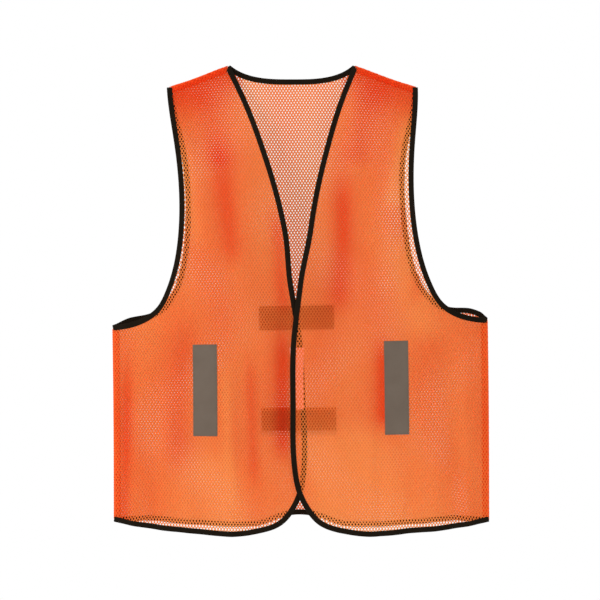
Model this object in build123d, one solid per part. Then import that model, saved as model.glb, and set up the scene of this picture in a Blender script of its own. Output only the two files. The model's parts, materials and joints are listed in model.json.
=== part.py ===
from build123d import *
import os

# A sleeveless safety vest of open netting, hanging upright as from the shoulders.
# Front towards -Y, up +Z, origin at the top centre between the two neck points.
# Sides are named for the wearer: left is +X, right is -X. All sizes in mm.

# Overall sizes
LENGTH = 684.0  # neck point to the lowest point of the hem
HALF_WIDTH = 274.0  # centre line to side seam
NECK_HALF = 90.0  # centre line to neck point
SHOULDER_HALF = 183.0  # centre line to shoulder tip
SHOULDER_DROP = 29.0  # shoulder tip below neck point
BACK_NECK_DROP = 20.0  # back neck below neck point
ARM_DEPTH = 345.0  # shoulder tip to underarm, straight down
V_DEPTH = 341.0  # neck point to where the fronts cross
OVERLAP = 12.0  # how far each front edge passes the centre line
SIDE_HEM_RISE = 26.0  # side seam's lower end above the lowest point

# How far the cloth stands off the plane of the seams
FRONT_DEPTH_TOP = 14.0
FRONT_DEPTH_HEM = 65.0
BACK_SHARE = 0.7  # the back stands off this much as far as the front
SHOULDER_ROLL = 30.0  # height over which the shoulders turn over
GIRTH_POWER = 2.4  # how squarely the cloth rounds into the side seams
GIRTH_SPREAD = 1.01  # flat control net closes this much beyond the side seams
NECK_LIFT = 4.5  # control net closes this far above the neck point
TIP_LIFT = -9.0  # and this far above the shoulder tip

# Netting, binding and seams
NET = 1.0
BINDING = 8.5  # width of the folded tape as seen
BINDING_LEG = 0.6
BINDING_WRAP = 1.2  # tape beyond the raw edge of the netting
SEAM = 10.0  # turned-in allowance
SEAM_THICK = 0.9  # two folded layers of netting, each side of the seam
SEAM_EDGE = 2.5  # how deep the two sides are held together

# Reflective strips
STRIP_WIDTH = 35.0
STRIP_THICK = 0.8
FRONT_STRIP_LENGTH = 133.0
FRONT_STRIP_TOP = 404.0
FRONT_STRIP_OUT = 137.5  # centre line to the middle of a front strip
BACK_STRIP_LENGTH = 110.0
UPPER_BACK_STRIP_TOP = 351.0
LOWER_BACK_STRIP_TOP = 501.0

# Hook and loop tapes
TAPE_WIDTH = 12.7
TAPE_LENGTH = 88.0
TAPE_TOP = 411.0
TAPE_THICK = 1.2
TAPE_SIDE_GAP = 0.4  # tape to the neighbouring binding

# Thread
STITCH_INSET = 2.0
STITCH_WIDTH = 0.8
STITCH_RISE = 0.25

# Opening fronts
FOLD_X = 0.867 * NECK_HALF  # centre line to the line each front folds about
FOLD_GAP = 0.5  # each side of the fold line
PARTING_ANGLE = 1.75  # degrees each front is turned so that left lies over right

# Shape of each outline as shares of the sizes above, from top to bottom
V_SHAPE = [(0.756, 0.147), (0.489, 0.352), (0.278, 0.557), (0.133, 0.762), (0.022, 0.968)]
FRONT_EDGE_SHAPE = [(-0.74, 0.21), (-0.92, 0.46), (-1.0, 0.62), (-0.8, 0.73), (-0.5, 0.79)]
CORNER_SHAPE = [(0.03, 0.883), (0.091, 0.939), (0.164, 0.971), (0.328, 1.0), (0.602, 0.99), (0.803, 0.974)]
ARM_SHAPE = [(-0.088, 0.235), (-0.143, 0.481), (-0.088, 0.67), (-0.011, 0.768), (0.132, 0.872)]
UNDERARM_SHAPE = [(0.242, 0.922), (0.516, 0.974), (0.76, 0.993)]
BACK_ARM_SHAPE = [(-0.15, 0.235), (-0.22, 0.481), (-0.17, 0.67), (-0.1, 0.768), (0.05, 0.872)]
BACK_UNDERARM_SHAPE = [(0.19, 0.922), (0.45, 0.957), (0.76, 0.973)]
BACK_NECK_SHAPE = [(0.8, 0.55), (0.5, 0.9), (0.0, 1.0)]
BACK_HEM_SHAPE = [(0.0, 0.957), (0.11, 0.966), (0.2, 0.984), (0.34, 0.994), (0.6, 0.991), (0.8, 0.979)]

RUN_ON = 16.0  # how far outlines are carried past a seam before trimming
REACH = 200.0  # longer than the vest is deep
ROWS = 20  # control points down the cloth, less one
COLUMNS = 12  # control points across the cloth, less one
BAND_STEPS = 60


# ---------------------------------------------------------------- curves of the cloth
def shoulder_line(x):
    """Height of the shoulder seam's line at a distance from the centre."""
    slope = SHOULDER_DROP / (SHOULDER_HALF - NECK_HALF)
    return -slope * (abs(x) - NECK_HALF)


def fullness(x, z):
    """How far the front cloth stands off the plane of the seams."""
    depth = FRONT_DEPTH_TOP + (FRONT_DEPTH_HEM - FRONT_DEPTH_TOP) * -z / LENGTH
    girth = 1 - abs(x / (HALF_WIDTH * GIRTH_SPREAD)) ** GIRTH_POWER
    out = (abs(x) - NECK_HALF) / (SHOULDER_HALF - NECK_HALF)
    lift = NECK_LIFT + (TIP_LIFT - NECK_LIFT) * out
    below = min(max(shoulder_line(x) + lift - z, -SHOULDER_ROLL / 2), SHOULDER_ROLL)
    turn = 1 - (1 - below / SHOULDER_ROLL) ** 2
    return depth * girth * turn


def cloth_face(share):
    """Inner face of a cloth that stands off the seam plane by a share of the fullness."""
    wide = HALF_WIDTH + RUN_ON
    drop = LENGTH + 2 * RUN_ON
    net = []
    for i in range(COLUMNS + 1):
        x = -wide + 2 * wide * i / COLUMNS
        heights = [RUN_ON - drop * j / ROWS for j in range(ROWS + 1)]
        net.append([Vector(x, fullness(x, z) * share, z) for z in heights])
    return Face.make_bezier_surface(net)


def layer(face, start, end):
    """Slab between two offsets of a cloth face along Y."""
    return Solid.extrude(face.moved(Location((0, start, 0))), Vector(0, end - start, 0))


# ---------------------------------------------------------------- flat outlines
def spot(x, z):
    """Point of a flat outline."""
    return Vector(x, 0, z)


def area(*edges):
    """Flat face inside a closed run of edges."""
    return Face(Wire(edges))


def polygon(points):
    """Flat face with straight sides."""
    return Face(Wire.make_polygon([spot(*p) for p in points], close=True))


def upright_box(low_x, high_x, low_z, high_z):
    """Flat rectangle."""
    return polygon([(low_x, low_z), (high_x, low_z), (high_x, high_z), (low_x, high_z)])


def prism(shape, start, end):
    """Solid from a flat area, between two distances along Y."""
    solids = []
    for face in shape.faces():
        started = face.moved(Location((0, start, 0)))
        solids.append(Solid.extrude(started, Vector(0, end - start, 0)))
    return Compound(children=solids) if len(solids) > 1 else solids[0]


def through(shape):
    """Prism of a flat area right through the vest from front to back."""
    return prism(shape, -REACH, REACH)


def band(edge, width, side):
    """Flat strip of even width along one side of a curve."""
    near = []
    far = []
    for i in range(BAND_STEPS + 1):
        place = edge.position_at(i / BAND_STEPS)
        way = edge.tangent_at(i / BAND_STEPS)
        near.append(place)
        far.append(place + Vector(way.Z, 0, -way.X) * width * side)
    inner = Edge.make_spline(far)
    closing = [Edge.make_line(near[-1], far[-1]), Edge.make_line(far[0], near[0])]
    return area(edge, closing[0], inner, closing[1])


def neck_point_on():
    """Where an outline is carried to beyond the neck point."""
    rise = RUN_ON * V_DEPTH * V_SHAPE[0][1] / (NECK_HALF * (1 - V_SHAPE[0][0]))
    return (NECK_HALF + RUN_ON / 2, rise / 2)


def front_edge():
    """Left front's free edge: V, centre edge, rounded corner and hem."""
    points = [neck_point_on(), (NECK_HALF, 0)]
    points += [(NECK_HALF * x, -V_DEPTH * z) for x, z in V_SHAPE]
    below = LENGTH - V_DEPTH
    points += [(OVERLAP * x, -V_DEPTH - below * z) for x, z in FRONT_EDGE_SHAPE]
    points += [(HALF_WIDTH * x, -V_DEPTH - below * z) for x, z in CORNER_SHAPE]
    points += [(HALF_WIDTH, side_hem()), (HALF_WIDTH + RUN_ON, side_hem())]
    return Edge.make_spline([spot(*p) for p in points])


def side_hem():
    """Height of the side seam's lower end."""
    return SIDE_HEM_RISE - LENGTH


def underarm():
    """Height of the underarm point."""
    return -SHOULDER_DROP - ARM_DEPTH


def arm_edge(shape):
    """One cloth's left armhole from above the shoulder to beyond the side seam."""
    spread = HALF_WIDTH - SHOULDER_HALF
    points = [(SHOULDER_HALF, RUN_ON - SHOULDER_DROP), (SHOULDER_HALF, -SHOULDER_DROP)]
    for x, z in shape:
        points.append((SHOULDER_HALF + spread * x, -SHOULDER_DROP - ARM_DEPTH * z))
    points += [(HALF_WIDTH, underarm()), (HALF_WIDTH + RUN_ON, underarm() - 1)]
    return Edge.make_spline([spot(*p) for p in points])


def back_neck_edge():
    """Back neck from beyond one neck point to beyond the other."""
    half = [(NECK_HALF * x, -BACK_NECK_DROP * z) for x, z in BACK_NECK_SHAPE]
    right = [(-x, z) for x, z in half[:-1]]
    ends = [(NECK_HALF + RUN_ON / 2, RUN_ON / 2), (NECK_HALF, 0)]
    far_ends = [(-x, z) for x, z in reversed(ends)]
    points = ends + half + right[::-1] + far_ends
    return Edge.make_spline([spot(*p) for p in points])


def back_hem_edge():
    """Back hem from beyond one side seam to beyond the other."""
    half = [(HALF_WIDTH * x, -LENGTH * z) for x, z in BACK_HEM_SHAPE]
    right = half[::-1] + [(-x, z) for x, z in half[1:]]
    start = [(HALF_WIDTH + RUN_ON, side_hem()), (HALF_WIDTH, side_hem())]
    end = [(-x, z) for x, z in reversed(start)]
    return Edge.make_spline([spot(*p) for p in start + right + end])


def block():
    """Everything below the shoulder lines and between the side seams."""
    out = HALF_WIDTH
    tip = shoulder_line(out)
    low = -LENGTH - RUN_ON
    return polygon([(-out, low), (out, low), (out, tip), (0, shoulder_line(0)), (-out, tip)])


def arm_hole(edge):
    """Area outside the left armhole."""
    start = edge.position_at(0)
    end = edge.position_at(1)
    corner = Vector(end.X, 0, start.Z)
    return area(edge, Edge.make_line(end, corner), Edge.make_line(corner, start))


def flipped(shape):
    """The same shape for the wearer's other side."""
    return shape.mirror(Plane.YZ)


def front_outline(edge, arm):
    """Left front as cut, before binding."""
    start = edge.position_at(0)
    end = edge.position_at(1)
    corner = Vector(end.X, 0, start.Z)
    inside = area(edge, Edge.make_line(end, corner), Edge.make_line(corner, start))
    return (inside & block()) - arm_hole(arm)


def back_outline(neck, hem, arm):
    """Back as cut, before binding."""
    high_right = neck.position_at(1)
    low_right = hem.position_at(1)
    low_left = hem.position_at(0)
    high_left = neck.position_at(0)
    corner_right = Vector(low_right.X, 0, high_right.Z)
    corner_left = Vector(low_left.X, 0, high_left.Z)
    right_side = [Edge.make_line(high_right, corner_right), Edge.make_line(corner_right, low_right)]
    left_side = [Edge.make_line(low_left, corner_left), Edge.make_line(corner_left, high_left)]
    inside = area(neck, *right_side, hem, *left_side)
    hole = arm_hole(arm)
    return (inside & block()) - hole - flipped(hole)


# ---------------------------------------------------------------- pieces
def pieces_of(shape):
    """The real solids of a result, without dust."""
    keep = [s for s in shape.solids() if s.volume > 1.0]
    return keep[0] if len(keep) == 1 else Compound(children=keep)


def joined(*shapes):
    """Shapes fused into one."""
    whole = shapes[0]
    for shape in shapes[1:]:
        whole = whole + shape
    return whole


def panel(face, outline, trimmed, away):
    """Netting of one panel: a thin layer inside its outline."""
    cut = outline
    for strip in trimmed:
        cut = cut - strip
    return pieces_of(layer(face, 0, NET * away) & prism(cut, 0, REACH * away))


def binding(face, outline, strip, away):
    """Folded tape over an edge, before the netting inside it is taken out."""
    thick = layer(face, -BINDING_LEG * away, (NET + BINDING_LEG) * away)
    return thick & through(strip & outline)


def less(shape, others):
    """Shape with others taken out."""
    for other in others:
        shape = shape - other
    return pieces_of(shape)


def on_outer(face, outline, away, low, high):
    """Flat piece lying on the outer side of a cloth."""
    return pieces_of(layer(face, (NET + low) * away, (NET + high) * away) & through(outline))


def between(front_face, back_face, outline):
    """Everything between the two cloths where they come together at a seam."""
    behind_front = layer(front_face, -BINDING_LEG, REACH)
    before_back = layer(back_face, BINDING_LEG, -REACH)
    return behind_front & before_back & through(outline)


def seam_allowance(front_face, back_face, outline, rim):
    """Turned-in allowance hugging the inside of both cloths, joined at its rim."""
    inside_front = layer(front_face, 0, 2 * SEAM_THICK) & through(outline)
    inside_back = layer(back_face, 0, -2 * SEAM_THICK) & through(outline)
    return joined(inside_front, inside_back, between(front_face, back_face, outline & rim))


def frame_outline(low_x, high_x, low_z, high_z):
    """Narrow stitched line just inside a rectangle."""
    a = STITCH_INSET
    b = STITCH_INSET + STITCH_WIDTH
    outer = upright_box(low_x + a, high_x - a, low_z + a, high_z - a)
    inner = upright_box(low_x + b, high_x - b, low_z + b, high_z - b)
    return outer - inner


def strip_and_stitches(face, away, low_x, high_x, low_z, high_z):
    """Reflective strip and the thread line that holds it."""
    strip = on_outer(face, upright_box(low_x, high_x, low_z, high_z), away, 0, STRIP_THICK)
    line = frame_outline(low_x, high_x, low_z, high_z)
    thread = on_outer(face, line, away, STRIP_THICK, STRIP_THICK + STITCH_RISE)
    return strip, thread


def tape_outlines(edge):
    """Flat tape beside the left binding and the stitched line on it."""
    start = BINDING + TAPE_SIDE_GAP
    rows = upright_box(-HALF_WIDTH, HALF_WIDTH, -TAPE_TOP - TAPE_LENGTH, -TAPE_TOP)
    tape = (band(edge, start + TAPE_WIDTH, -1) - band(edge, start, -1)) & rows
    a = STITCH_INSET
    b = STITCH_INSET + STITCH_WIDTH
    far = start + TAPE_WIDTH
    ring = frame_band(edge, start + a, far - a, a) - frame_band(edge, start + b, far - b, b)
    return tape, ring


def frame_band(edge, near, far, inset):
    """Part of a band between two rows set in from the tape's ends."""
    low = -TAPE_TOP - TAPE_LENGTH + inset
    rows = upright_box(-HALF_WIDTH, HALF_WIDTH, low, -TAPE_TOP - inset)
    return (band(edge, far, -1) - band(edge, near, -1)) & rows


def shoulder_outline(depth):
    """Area of a given depth below the left shoulder line."""
    near = NECK_HALF - RUN_ON
    far = SHOULDER_HALF + RUN_ON
    tops = [(near, shoulder_line(near)), (far, shoulder_line(far))]
    return polygon(tops + [(x, z - depth) for x, z in reversed(tops)])


def side_outline(depth):
    """Area of a given depth inside the left side seam."""
    return upright_box(HALF_WIDTH - depth, HALF_WIDTH, -LENGTH, underarm() + RUN_ON)


def beyond_fold(far):
    """Flat area on the side seam's side of the left fold line, out to a distance."""
    return upright_box(FOLD_X + FOLD_GAP, far, -LENGTH - RUN_ON, RUN_ON)


def before_fold():
    """Flat area on the opening's side of the left fold line."""
    return upright_box(-2 * NECK_HALF, FOLD_X - FOLD_GAP, -LENGTH - RUN_ON, RUN_ON)


def fold_y(z):
    """Where the fold axis passes, just outside the left front's binding."""
    low = V_DEPTH
    high = LENGTH
    slope = (fullness(FOLD_X, -high) - fullness(FOLD_X, -low)) / (high - low)
    stand_off = fullness(FOLD_X, -low) + slope * (-z - low)
    return -stand_off - NET - BINDING_LEG - FOLD_GAP


def save(name, shape):
    """One node as one file."""
    shape.label = name
    export_step(shape, "parts/" + name + ".step")


# ---------------------------------------------------------------- the vest
os.makedirs("parts", exist_ok=True)

wide = HALF_WIDTH + RUN_ON
back_face = cloth_face(BACK_SHARE)
front_face = cloth_face(-1)

edge = front_edge()
arm = arm_edge(ARM_SHAPE + UNDERARM_SHAPE)
rear_arm = arm_edge(BACK_ARM_SHAPE + BACK_UNDERARM_SHAPE)
neck = back_neck_edge()
hem = back_hem_edge()
front_shape = front_outline(edge, arm)
back_shape = back_outline(neck, hem, rear_arm)

front_raw_edges = [band(edge, BINDING_WRAP, -1), band(arm, BINDING_WRAP, 1)]
back_raw_edges = [band(neck, BINDING_WRAP, -1), band(hem, BINDING_WRAP, 1), band(rear_arm, BINDING_WRAP, 1)]
back_raw_edges.append(flipped(back_raw_edges[2]))

side_shape = front_shape & beyond_fold(wide)
flap_shape = front_shape & before_fold()
edge_band = band(edge, BINDING, -1)
arm_band = band(arm, BINDING, 1)
neck_part = side_shape & upright_box(0, wide, -V_DEPTH, RUN_ON)
hem_part = side_shape & upright_box(0, wide, -LENGTH - RUN_ON, -V_DEPTH)

# Netting
netting = {
    "back_panel": panel(back_face, back_shape, back_raw_edges, 1),
    "left_front_side_panel": panel(front_face, side_shape, front_raw_edges, -1),
    "right_front_side_panel": panel(front_face, flipped(side_shape), map(flipped, front_raw_edges), -1),
    "left_front_flap_panel": panel(front_face, flap_shape, front_raw_edges, -1),
    "right_front_flap_panel": panel(front_face, flipped(flap_shape), map(flipped, front_raw_edges), -1),
}
nets = list(netting.values())

# Bindings
rims = joined(shoulder_outline(SEAM_EDGE), side_outline(SEAM_EDGE))
left_stub = binding(front_face, neck_part, edge_band, -1)
left_hem = binding(front_face, hem_part, edge_band, -1)
left_arm = binding(front_face, side_shape, arm_band, -1)
back_neck = binding(back_face, back_shape, band(neck, BINDING, -1), 1)
back_hem = binding(back_face, back_shape, band(hem, BINDING, 1), 1)
back_arm = binding(back_face, back_shape, band(rear_arm, BINDING, 1), 1)
neck_join = between(front_face, back_face, edge_band & neck_part & back_shape & rims)
hem_join = between(front_face, back_face, edge_band & hem_part & back_shape & rims)
arm_join = between(front_face, back_face, arm_band & side_shape & back_shape & rims)
left_edge = binding(front_face, flap_shape, edge_band, -1)
neck_ends = [left_stub, neck_join, flipped(left_stub), flipped(neck_join)]
hem_ends = [left_hem, hem_join, flipped(left_hem), flipped(hem_join)]
arm_whole = joined(left_arm, back_arm, arm_join)
bindings = {
    "neck_binding": less(joined(back_neck, *neck_ends), nets),
    "hem_binding": less(joined(back_hem, *hem_ends), nets),
    "left_armhole_binding": less(arm_whole, nets),
    "right_armhole_binding": less(flipped(arm_whole), nets),
    "left_front_edge_binding": less(left_edge, nets),
    "right_front_edge_binding": less(flipped(left_edge), nets),
}

# Seams
solid_parts = nets + list(bindings.values())
both_shapes = side_shape & back_shape
left_shoulder = seam_allowance(front_face, back_face, shoulder_outline(SEAM) & both_shapes, rims)
left_side = seam_allowance(front_face, back_face, side_outline(SEAM) & both_shapes, rims)
seams = {
    "left_shoulder_seam": less(left_shoulder, solid_parts),
    "right_shoulder_seam": less(flipped(left_shoulder), solid_parts),
    "left_side_seam": less(left_side, solid_parts),
    "right_side_seam": less(flipped(left_side), solid_parts),
}

# Reflective strips
strips = {}
near = FRONT_STRIP_OUT - STRIP_WIDTH / 2
far = FRONT_STRIP_OUT + STRIP_WIDTH / 2
foot = -FRONT_STRIP_TOP - FRONT_STRIP_LENGTH
half = BACK_STRIP_LENGTH / 2
places = {
    "left_front": (front_face, -1, near, far, foot, -FRONT_STRIP_TOP),
    "right_front": (front_face, -1, -far, -near, foot, -FRONT_STRIP_TOP),
    "upper_back": (back_face, 1, -half, half, -UPPER_BACK_STRIP_TOP - STRIP_WIDTH, -UPPER_BACK_STRIP_TOP),
    "lower_back": (back_face, 1, -half, half, -LOWER_BACK_STRIP_TOP - STRIP_WIDTH, -LOWER_BACK_STRIP_TOP),
}
for place, sizes in places.items():
    strip, thread = strip_and_stitches(*sizes)
    strips[place + "_reflective_strip"] = strip
    strips[place + "_strip_stitching"] = thread

# Hook and loop tapes: hook inside the left front, loop outside the right front
tape, tape_line = tape_outlines(edge)
top_of_stitch = TAPE_THICK + STITCH_RISE
tapes = {
    "closure_hook_tape": pieces_of(layer(front_face, 0, TAPE_THICK) & through(tape)),
    "hook_tape_stitching": pieces_of(layer(front_face, TAPE_THICK, top_of_stitch) & through(tape_line)),
    "closure_loop_tape": on_outer(front_face, flipped(tape), -1, 0, TAPE_THICK),
    "loop_tape_stitching": on_outer(front_face, flipped(tape_line), -1, TAPE_THICK, top_of_stitch),
}

# The left front is turned a little outwards and the right one inwards, so that they overlap
hinge_y = fold_y(-V_DEPTH)
hinge_line = Axis((FOLD_X, hinge_y, -V_DEPTH), (0, fold_y(0) - hinge_y, V_DEPTH))
left_moving = (
    "left_front_flap_panel",
    "left_front_edge_binding",
    "closure_hook_tape",
    "hook_tape_stitching",
)
right_moving = (
    "right_front_flap_panel",
    "right_front_edge_binding",
    "closure_loop_tape",
    "loop_tape_stitching",
)
for group in (netting, bindings, seams, strips, tapes):
    for name, shape in group.items():
        if name in left_moving:
            shape = shape.rotate(hinge_line, PARTING_ANGLE)
        if name in right_moving:
            shape = flipped(flipped(shape).rotate(hinge_line, -PARTING_ANGLE))
        save(name, shape)

print("left fold axis through", hinge_line.position, "along", hinge_line.direction)
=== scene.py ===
# %% [markdown]
# # A mesh safety vest
# The vest is a front in two halves and a back, cut from orange netting, bound round
# every free edge with folded black tape, with grey reflective strips sewn on and a
# pair of hook and loop tapes that close the fronts.
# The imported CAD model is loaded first: it fixes the size, the place and the joints.

# %% Load the fixed frame
import json
import math

import bpy
import numpy as np
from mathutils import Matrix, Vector


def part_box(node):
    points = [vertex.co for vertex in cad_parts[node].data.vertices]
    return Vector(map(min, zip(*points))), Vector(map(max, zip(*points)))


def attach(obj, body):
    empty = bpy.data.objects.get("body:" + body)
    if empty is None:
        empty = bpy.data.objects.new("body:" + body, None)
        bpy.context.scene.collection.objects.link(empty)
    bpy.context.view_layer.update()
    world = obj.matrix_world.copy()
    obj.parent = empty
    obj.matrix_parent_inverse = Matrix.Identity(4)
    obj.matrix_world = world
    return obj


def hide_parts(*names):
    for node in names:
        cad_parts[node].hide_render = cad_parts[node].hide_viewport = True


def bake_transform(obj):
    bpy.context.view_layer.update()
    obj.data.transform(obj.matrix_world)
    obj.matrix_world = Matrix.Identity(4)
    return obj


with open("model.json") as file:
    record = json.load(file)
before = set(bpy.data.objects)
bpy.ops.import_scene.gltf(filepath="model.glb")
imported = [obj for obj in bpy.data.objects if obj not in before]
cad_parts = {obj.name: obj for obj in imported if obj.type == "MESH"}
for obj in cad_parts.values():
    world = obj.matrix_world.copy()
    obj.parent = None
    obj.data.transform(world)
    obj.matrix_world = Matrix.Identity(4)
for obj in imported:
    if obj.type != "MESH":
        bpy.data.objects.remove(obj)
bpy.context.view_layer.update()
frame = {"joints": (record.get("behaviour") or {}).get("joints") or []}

# %% [markdown]
# ## Sizes
# A cutter works from a pattern. The same pattern sizes that made the CAD model are
# written here in metres, so that the netting and the tapes land where its panels are.
# The half width and the length come from the CAD nodes themselves.

# %% Pattern sizes
MM = 0.001
HALF_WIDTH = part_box("left_side_seam")[1][0]
LENGTH = -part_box("left_front_edge_binding")[0][2]
NECK_HALF = 90 * MM
SHOULDER_HALF = 183 * MM
SHOULDER_DROP = 29 * MM
BACK_NECK_DROP = 20 * MM
ARM_DEPTH = 345 * MM
V_DEPTH = 341 * MM
OVERLAP = 12 * MM
SIDE_HEM = -LENGTH + 26 * MM
UNDERARM = -SHOULDER_DROP - ARM_DEPTH
FOLD_X = abs(frame["joints"][0]["pos_m"][0])
NET_THICK = 1.0 * MM
BINDING = 8.5 * MM
print("half width", HALF_WIDTH, "length", LENGTH, "fold", FOLD_X)

# %% Outline shapes, as shares of the sizes above
V_SHAPE = [(0.756, 0.147), (0.489, 0.352), (0.278, 0.557), (0.133, 0.762), (0.022, 0.968)]
FRONT_EDGE_SHAPE = [(-0.74, 0.21), (-0.92, 0.46), (-1.0, 0.62), (-0.8, 0.73), (-0.5, 0.79)]
CORNER_SHAPE = [
    (0.03, 0.883), (0.091, 0.939), (0.164, 0.971), (0.328, 1.0), (0.602, 0.99), (0.803, 0.974),
]
ARM_SHAPE = [(-0.088, 0.235), (-0.143, 0.481), (-0.088, 0.67), (-0.011, 0.768), (0.132, 0.872)]
UNDERARM_SHAPE = [(0.242, 0.922), (0.516, 0.974), (0.76, 0.993)]
BACK_ARM_SHAPE = [(-0.15, 0.235), (-0.22, 0.481), (-0.17, 0.67), (-0.1, 0.768), (0.05, 0.872)]
BACK_UNDERARM_SHAPE = [(0.19, 0.922), (0.45, 0.957), (0.76, 0.973)]
BACK_NECK_SHAPE = [(0.8, 0.55), (0.5, 0.9), (0.0, 1.0)]
BACK_HEM_SHAPE = [
    (0.0, 0.957), (0.11, 0.966), (0.2, 0.984), (0.34, 0.994), (0.6, 0.991), (0.8, 0.979),
]

# %% [markdown]
# ## The shape the cloth hangs in
# Real netting hangs in one soft skin. Its stand-off from the plane of the seams is a
# Bezier patch over a net of control points, the same patch as in the CAD model, so
# one formula gives the place of every strand, stitch and strip.

# %% The cloth's stand-off
DEPTH_TOP = 14 * MM
DEPTH_HEM = 65 * MM
BACK_SHARE = 0.7
SHOULDER_ROLL = 30 * MM
GIRTH_POWER = 2.4
GIRTH_SPREAD = 1.01
NECK_LIFT = 4.5 * MM
TIP_LIFT = -9 * MM
RUN_ON = 16 * MM
ACROSS = 12
DOWN = 20
WIDE = HALF_WIDTH + RUN_ON
TALL = LENGTH + 2 * RUN_ON
SLOPE = SHOULDER_DROP / (SHOULDER_HALF - NECK_HALF)


def shoulder_line(x):
    """Height of the shoulder seam at x."""
    return -SLOPE * (np.abs(x) - NECK_HALF)


def control_stand_off(x, z):
    """Stand-off of the front's control net."""
    depth = DEPTH_TOP + (DEPTH_HEM - DEPTH_TOP) * -z / LENGTH
    girth = 1 - (abs(x) / (HALF_WIDTH * GIRTH_SPREAD)) ** GIRTH_POWER
    out = (abs(x) - NECK_HALF) / (SHOULDER_HALF - NECK_HALF)
    lift = NECK_LIFT + (TIP_LIFT - NECK_LIFT) * out
    below = min(max(float(shoulder_line(x)) + lift - z, -SHOULDER_ROLL / 2), SHOULDER_ROLL)
    return depth * girth * (1 - (1 - below / SHOULDER_ROLL) ** 2)


def bernstein(count, share):
    """Bernstein weights, one row per share."""
    k = np.arange(count + 1)
    ways = np.array([math.comb(count, int(i)) for i in k])
    share = np.clip(np.asarray(share, float), 0, 1)[:, None]
    return ways * share**k * (1 - share) ** (count - k)


net_x = [-WIDE + 2 * WIDE * i / ACROSS for i in range(ACROSS + 1)]
net_z = [RUN_ON - TALL * j / DOWN for j in range(DOWN + 1)]
control_net = np.array([[control_stand_off(x, z) for z in net_z] for x in net_x])


def stand_off(x, z):
    """How far the front cloth stands off the seam plane at arrays of x and z."""
    across = bernstein(ACROSS, (np.asarray(x) + WIDE) / (2 * WIDE))
    down = bernstein(DOWN, (RUN_ON - np.asarray(z)) / TALL)
    return np.einsum("ni,ij,nj->n", across, control_net, down)


print("stand-off mid chest", round(float(stand_off([0.0], [-0.3])[0]), 4))

# %% [markdown]
# ## Folds
# Limp netting never hangs flat. Long soft folds run down from the shoulders and the
# underarms, and fade out before they meet the straight line that each front folds
# about. Each fold is a ridge between two points, with a width and a height.

# %% The folds of each cloth
# top x, top z, bottom x, bottom z, half width, height, all in mm
FRONT_FOLDS = [
    (-165, -60, -128, -250, 13, 3.0), (-130, -25, -100, -230, 16, -3.5),
    (-172, -250, -196, -560, 15, 4.0), (-232, -400, -246, -650, 12, 4.5),
    (-205, -420, -212, -665, 10, -3.5), (-165, -560, -160, -690, 11, 3.0),
    (-104, -420, -100, -680, 9, 2.5), (-84, -400, -86, -600, 8, -2.0),
    (-50, -330, -40, -640, 9, 1.6), (-62, -120, -36, -300, 10, -1.2),
    (150, -60, 128, -300, 14, 3.0), (112, -25, 90, -280, 15, -3.5),
    (172, -300, 205, -560, 16, 4.0), (238, -390, 244, -650, 13, 4.5),
    (196, -520, 190, -680, 11, 3.0), (160, -580, 152, -690, 9, -2.5),
    (112, -400, 114, -680, 8, -2.0), (96, -420, 98, -660, 9, 2.0),
    (46, -360, 52, -640, 9, 1.6), (66, -130, 60, -300, 10, -1.2),
]
BACK_FOLDS = [
    (-60, -120, -80, -640, 22, 4.0), (70, -160, 95, -650, 24, 4.5),
    (-190, -330, -215, -660, 16, 5.0), (195, -340, 225, -660, 16, 5.0),
    (0, -260, 10, -660, 18, -3.0), (-140, -420, -150, -670, 13, 3.0),
    (150, -430, 160, -670, 13, 3.0),
]
# the same kind of list for painted shade on the net: the last number is how much redder it is
# painted in a shaded fold band, or, where negative, how much paler it is painted as painted light
PAINTED_SHADE_AND_LIGHT_PLACES = [
    (-135, -10, -112, -130, 24, 0.30), (-118, -80, -98, -260, 18, 0.35),
    (-34, -190, -18, -340, 13, 0.45), (120, -10, 88, -130, 26, 0.35),
    (70, -130, 62, -330, 17, 0.45), (-20, -350, -22, -540, 13, 0.55),
    (118, -385, 120, -510, 13, 0.5), (-72, -390, -66, -580, 10, 0.3),
    (-250, -370, -258, -660, 10, 0.35),
    (200, -160, 170, -330, 12, 0.3), (-160, -330, -180, -560, 20, 0.25),
    (172, -60, 146, -190, 16, -0.45), (70, -500, 110, -690, 75, -0.5),
    (-150, -540, -100, -690, 45, -0.3), (140, -230, 180, -380, 26, -0.3),
    (-172, -80, -150, -240, 12, -0.25), (-110, -400, -104, -620, 9, -0.25),
]


def smooth(share):
    """Ease from 0 to 1."""
    share = np.clip(share, 0, 1)
    return share * share * (3 - 2 * share)


def rise(value, start, length):
    """Eases from 0 at a start to 1 a length further on, both in mm."""
    return smooth((value - start * MM) / (length * MM))


def unit(rows):
    """Each row at length 1."""
    return rows / np.linalg.norm(rows, axis=1)[:, None]


def run_of(line):
    """Length run along a line at each of its points."""
    return np.concatenate([[0], np.cumsum(np.linalg.norm(np.diff(line, axis=0), axis=1))])


def at_marks(marks, run, rows):
    """Rows of numbers read off at lengths along a line."""
    return np.stack([np.interp(marks, run, rows[:, k]) for k in range(rows.shape[1])], axis=1)


FADE_IN = 2.5
FADE_END = 1.25
FADE_OUT = 4


def fold_height(x, z, folds):
    """Sum of the folds at arrays of x and z."""
    total = np.zeros(len(x))
    for top_x, top_z, low_x, low_z, width, height in folds:
        along = (top_z * MM - z) / ((top_z - low_z) * MM)
        middle = (top_x + (low_x - top_x) * along) * MM
        fade = smooth(along * FADE_IN) * smooth((FADE_END - along) * FADE_OUT)
        total += height * MM * fade * np.exp(-(((x - middle) / (width * MM)) ** 2))
    return total


# %% Where a point of the flat pattern hangs
PARTING = math.tan(math.radians(1.75))
HINGE_SOFT = 8 * MM
SEAM_CLOSE = 2.5 * MM
SEAM_PINCH = 0.9
SEAM_QUIET = (8, 30)
SHOULDER_FROM = NECK_HALF * 0.8
SWAY = 14.6 * MM


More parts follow.
